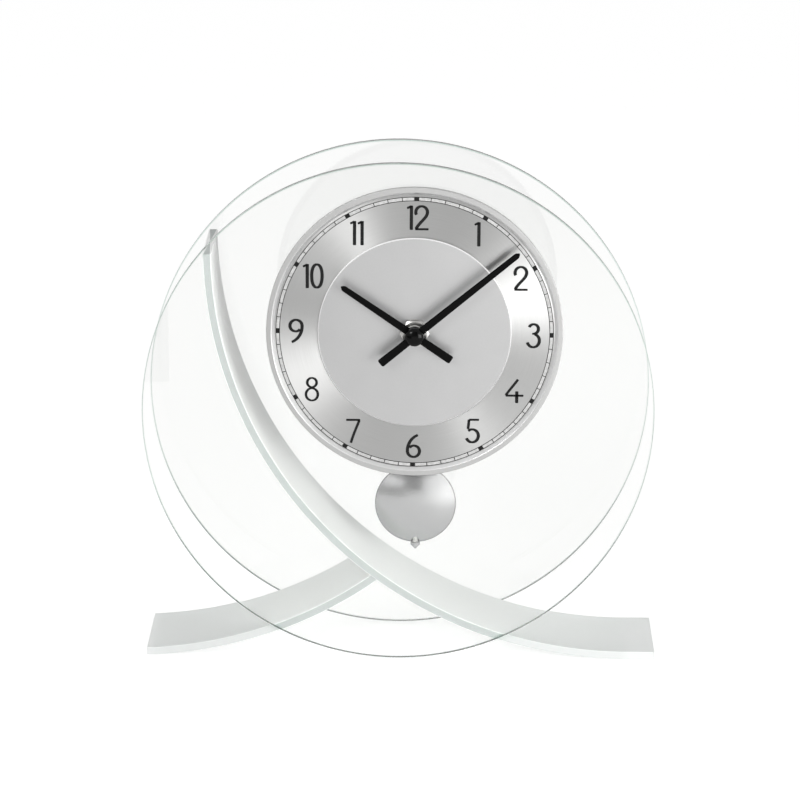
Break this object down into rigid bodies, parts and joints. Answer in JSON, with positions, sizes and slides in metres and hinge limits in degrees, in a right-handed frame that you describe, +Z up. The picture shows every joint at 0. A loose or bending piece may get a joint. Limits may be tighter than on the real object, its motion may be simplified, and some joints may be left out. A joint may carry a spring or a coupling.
{
  "type": "desk pendulum clock",
  "caption": "Desk pendulum clock: a round dial on parallel round glass panes that bent glass strips hold upright, with a battery movement and a swinging bob.",
  "frame": {"origin": "under the middle of the whole clock, on the surface that its feet stand on", "axes": "+X to the right seen from the dial, +Y to the rear, +Z up; the dial faces -Y"},
  "size_m": [0.2833, 0.0824, 0.281],
  "materials": {
    "clear_glass": "polished clear float glass with a faint green edge",
    "strip_glass": "polished bent float glass, pale green",
    "satin_aluminium": "satin",
    "brushed_aluminium": "circular brushed",
    "matt_silver": "fine matt silver",
    "black_lacquer": "satin black lacquer",
    "nickel": "nickel plated",
    "black_rubber": "matt",
    "black_plastic": "fine textured",
    "grey_plastic": "fine textured",
    "natural_plastic": "moulded, unpigmented",
    "zinc_steel": "bright drawn",
    "magnet_nickel": "plated magnet",
    "copper_wire": "enamelled copper wire",
    "cell_wrap": "plain coloured foil wrap",
    "green_board": "solder resist"
  },
  "bodies": {
    "case": {"front_glass": "clear_glass", "rear_glass": "clear_glass", "long_glass_strip": "strip_glass", "short_glass_strip": "strip_glass", "dial_bezel": "satin_aluminium", "dial_plate": "brushed_aluminium", "dial_centre_plate": "matt_silver", "threaded_bushing": "nickel", "fixing_nut": "nickel", "front_washer": "nickel", "rubber_washer": "black_rubber", "movement_front_shell": "black_plastic", "movement_back_cover": "black_plastic", "cover_screws": "zinc_steel", "train_bridge": "natural_plastic", "motor_stator": "zinc_steel", "motor_core": "zinc_steel", "motor_bobbin": "natural_plastic", "motor_winding": "copper_wire", "negative_contact": "nickel", "positive_contact": "nickel", "circuit_board": "green_board", "quartz_crystal": "nickel", "drive_bobbin": "natural_plastic", "drive_winding": "copper_wire", "pendulum_pivot_pin": "zinc_steel"},
    "minute_body": {"minute_arbor": "zinc_steel", "minute_hand": "black_lacquer", "hand_cap": "black_lacquer"},
    "hour_body": {"hour_wheel": "natural_plastic", "hour_hand": "black_lacquer"},
    "minute_work_body": {"minute_work_wheel": "natural_plastic"},
    "setting_body": {"setting_pinion": "natural_plastic", "setting_knob": "grey_plastic"},
    "centre_body": {"centre_wheel": "natural_plastic", "clutch_spring": "zinc_steel"},
    "third_body": {"third_wheel": "natural_plastic"},
    "fourth_body": {"fourth_wheel": "natural_plastic"},
    "fifth_body": {"fifth_wheel": "natural_plastic"},
    "rotor_body": {"rotor_pinion": "natural_plastic", "rotor_magnet": "magnet_nickel"},
    "battery_body": {"battery": "cell_wrap"},
    "pendulum_body": {"pendulum_hanger": "natural_plastic", "drive_magnet": "magnet_nickel", "pendulum_rod": "zinc_steel"},
    "bob_body": {"bob_front_shell": "matt_silver", "bob_rear_shell": "matt_silver", "bob_guide_tube": "zinc_steel"},
    "nut_body": {"rating_nut": "matt_silver"}
  },
  "joints": [
    {"name": "minute_hand_turn", "type": "hinge", "parent": "case", "child": "minute_body", "pos_m": [0.0072, -0.038, 0.188], "axis": [0, 1, 0], "continuous": true},
    {"name": "hour_hand_turn", "type": "hinge", "parent": "case", "child": "hour_body", "pos_m": [0.0072, -0.0359, 0.188], "axis": [0, 1, 0], "continuous": true},
    {"name": "minute_work_turn", "type": "hinge", "parent": "case", "child": "minute_work_body", "pos_m": [0.0012, -0.0143, 0.17761], "axis": [0, 1, 0], "continuous": true},
    {"name": "setting_knob_turn", "type": "hinge", "parent": "case", "child": "setting_body", "pos_m": [-0.0108, -0.0143, 0.17761], "axis": [0, 1, 0], "continuous": true},
    {"name": "rotor_turn", "type": "hinge", "parent": "case", "child": "rotor_body", "pos_m": [-0.00739, -0.0143, 0.19849], "axis": [0, 1, 0], "continuous": true},
    {"name": "fifth_wheel_turn", "type": "hinge", "parent": "case", "child": "fifth_body", "pos_m": [-0.00343, -0.0143, 0.20245], "axis": [0, 1, 0], "continuous": true},
    {"name": "fourth_wheel_turn", "type": "hinge", "parent": "case", "child": "fourth_body", "pos_m": [0.00377, -0.0143, 0.20245], "axis": [0, 1, 0], "continuous": true},
    {"name": "third_wheel_turn", "type": "hinge", "parent": "case", "child": "third_body", "pos_m": [0.0126, -0.0143, 0.19735], "axis": [0, 1, 0], "continuous": true},
    {"name": "centre_wheel_turn", "type": "hinge", "parent": "case", "child": "centre_body", "pos_m": [0.0072, -0.0143, 0.188], "axis": [0, 1, 0], "continuous": true},
    {"name": "battery_removal", "type": "slide", "parent": "case", "child": "battery_body", "axis": [0, 1, 0], "range_m": [0, 0.016]},
    {"name": "pendulum_swing", "type": "hinge", "parent": "case", "child": "pendulum_body", "pos_m": [0.0081, -0.0012, 0.17], "axis": [0, 1, 0], "range_deg": [-8, 8]},
    {"name": "bob_height", "type": "slide", "parent": "pendulum_body", "child": "bob_body", "axis": [0, 0, 1], "range_m": [-0.001, 0.001]},
    {"name": "rating_nut_turn", "type": "hinge", "parent": "bob_body", "child": "nut_body", "pos_m": [0.0081, 0.00135, 0.06025], "axis": [0, 0, 1], "range_deg": [-720.1, 720.1]}
  ],
  "couplings": [
    {"joint": "hour_hand_turn", "follows": "minute_hand_turn", "ratio": 0.083333},
    {"joint": "minute_work_turn", "follows": "minute_hand_turn", "ratio": -0.33333},
    {"joint": "setting_knob_turn", "follows": "minute_hand_turn", "ratio": 1},
    {"joint": "fifth_wheel_turn", "follows": "rotor_turn", "ratio": -0.16667},
    {"joint": "fourth_wheel_turn", "follows": "rotor_turn", "ratio": 0.033333},
    {"joint": "third_wheel_turn", "follows": "rotor_turn", "ratio": -0.0044444},
    {"joint": "centre_wheel_turn", "follows": "rotor_turn", "ratio": 0.00055556},
    {"joint": "rating_nut_turn", "follows": "bob_height", "rad_per_m": 12566}
  ]
}
